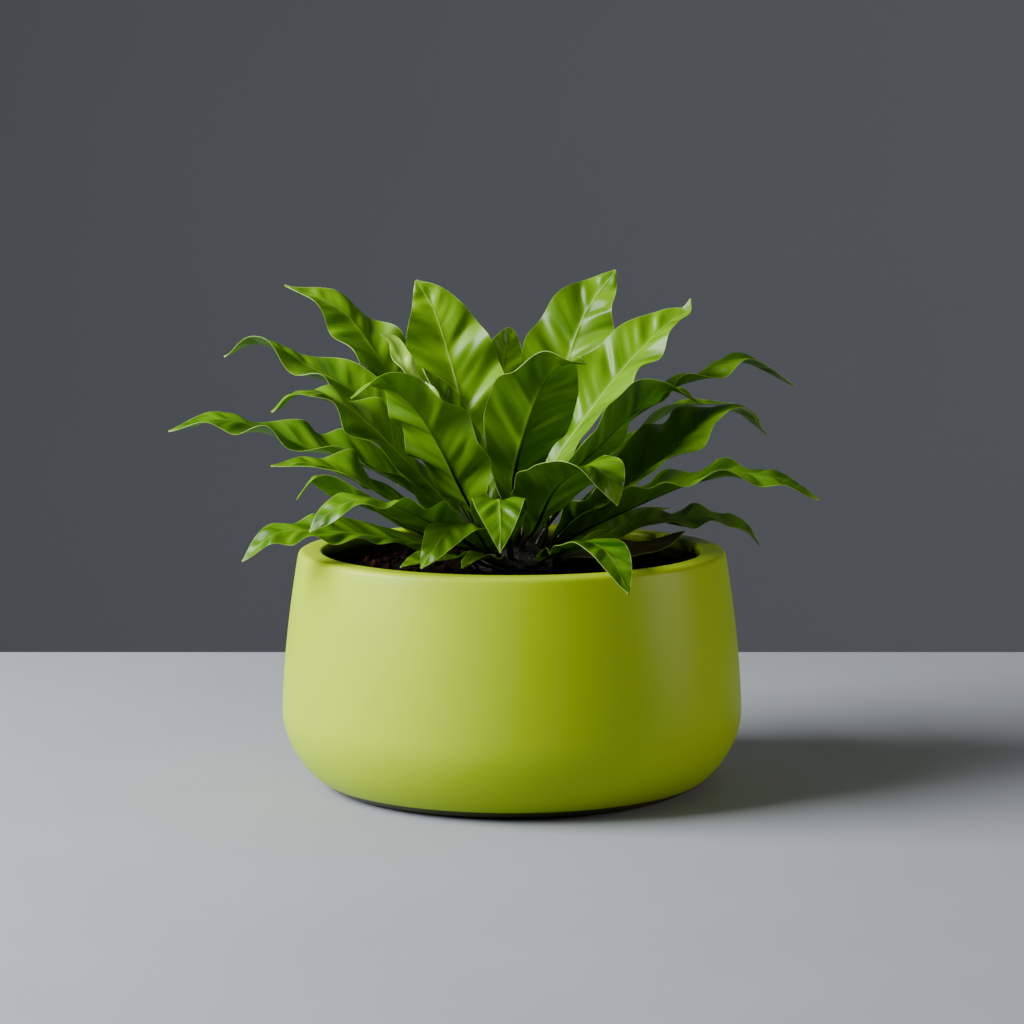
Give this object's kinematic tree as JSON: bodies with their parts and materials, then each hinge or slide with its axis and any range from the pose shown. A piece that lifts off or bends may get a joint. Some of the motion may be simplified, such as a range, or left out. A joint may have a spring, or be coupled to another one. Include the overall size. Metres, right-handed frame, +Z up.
{
  "type": "potted fern",
  "caption": "Wavy-leaved bird's nest fern with arching strap-shaped fronds, rooted in potting mix in a wide, low, round glazed planter that stands on its flat underside.",
  "frame": {"origin": "middle of the planter's flat underside, on the surface it stands on", "axes": "+Z up; -Y is the front, the side seen in the picture; +X to the viewer's right"},
  "size_m": [0.4015, 0.3114, 0.3215],
  "materials": {
    "glaze": "satin",
    "potting_mix": "matte",
    "roots": "matte",
    "crown_scales": "matte",
    "leaf": "satin",
    "young_leaf": "satin",
    "old_leaf": "matte"
  },
  "bodies": {
    "root": {"planter": "glaze", "potting_mix": "potting_mix", "root_ball": "roots", "crown": "crown_scales", "frond_left_high": "leaf", "frond_left_arching": "leaf", "frond_left_ribbed": "leaf", "frond_left_long": "leaf", "frond_left_low": "leaf", "frond_left_hooked": "leaf", "frond_left_broad": "leaf", "frond_left_rim": "leaf", "frond_front_leaning": "leaf", "frond_tall_left": "leaf", "frond_tall_middle": "leaf", "frond_tall_right": "leaf", "frond_front_upright": "leaf", "frond_right_glossy": "leaf", "frond_right_high": "leaf", "frond_right_folded": "leaf", "frond_right_under": "leaf", "frond_right_dark": "leaf", "frond_right_long": "leaf", "frond_right_low": "leaf", "frond_right_back": "leaf", "frond_drooping": "leaf", "frond_front_folded": "leaf", "frond_front_left": "leaf", "frond_front_right": "leaf", "frond_front_low": "leaf", "frond_front_small": "leaf", "frond_right_tucked": "leaf", "frond_young": "young_leaf", "frond_inner_small": "leaf", "frond_old": "old_leaf", "frond_back_right": "leaf", "frond_back_left": "leaf", "frond_back_far_right": "leaf", "frond_back_far_left": "leaf", "frond_back_drooping": "leaf", "frond_back_low_left": "leaf", "frond_back_low": "leaf"}
  },
  "joints": []
}
